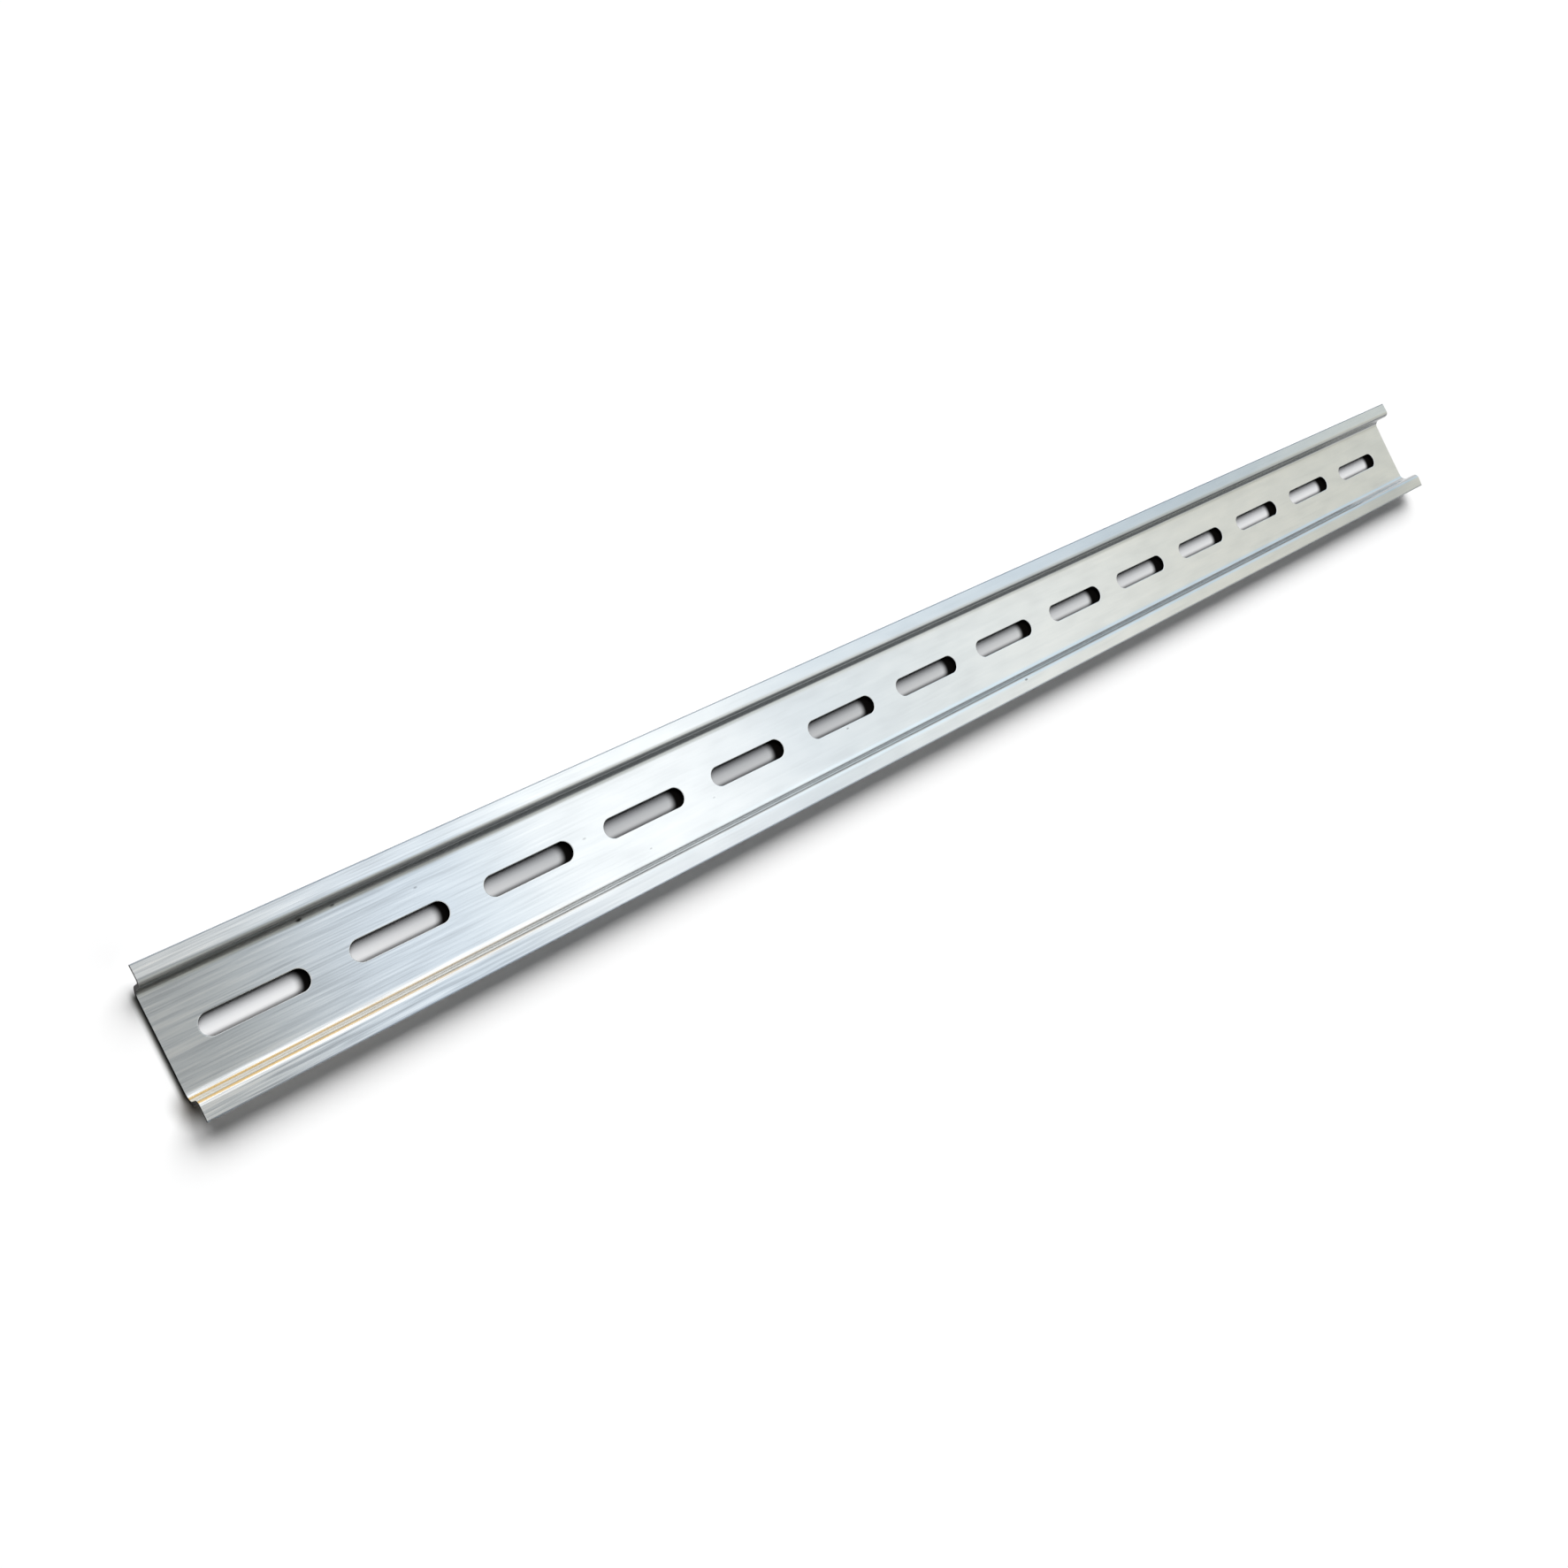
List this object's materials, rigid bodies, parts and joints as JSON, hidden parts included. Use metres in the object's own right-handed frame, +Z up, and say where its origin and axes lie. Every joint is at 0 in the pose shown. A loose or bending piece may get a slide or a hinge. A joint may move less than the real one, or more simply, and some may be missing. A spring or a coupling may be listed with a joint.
{
  "type": "slotted din rail",
  "caption": "Straight length of top-hat mounting rail: a shallow roll-formed steel channel with a flange along each side and a row of round-ended fixing slots along its web.",
  "frame": {"origin": "underside of the web, halfway along and across the rail", "axes": "+X along the rail, away from the end whose slot starts 8 mm in; +Y across it; +Z up out of the open channel"},
  "size_m": [0.5, 0.035, 0.0075],
  "materials": {
    "zinc_plated_steel": "bright zinc plating over rolled steel, with fine streaks along the length"
  },
  "bodies": {
    "root": {"rail": "zinc_plated_steel"}
  },
  "joints": []
}
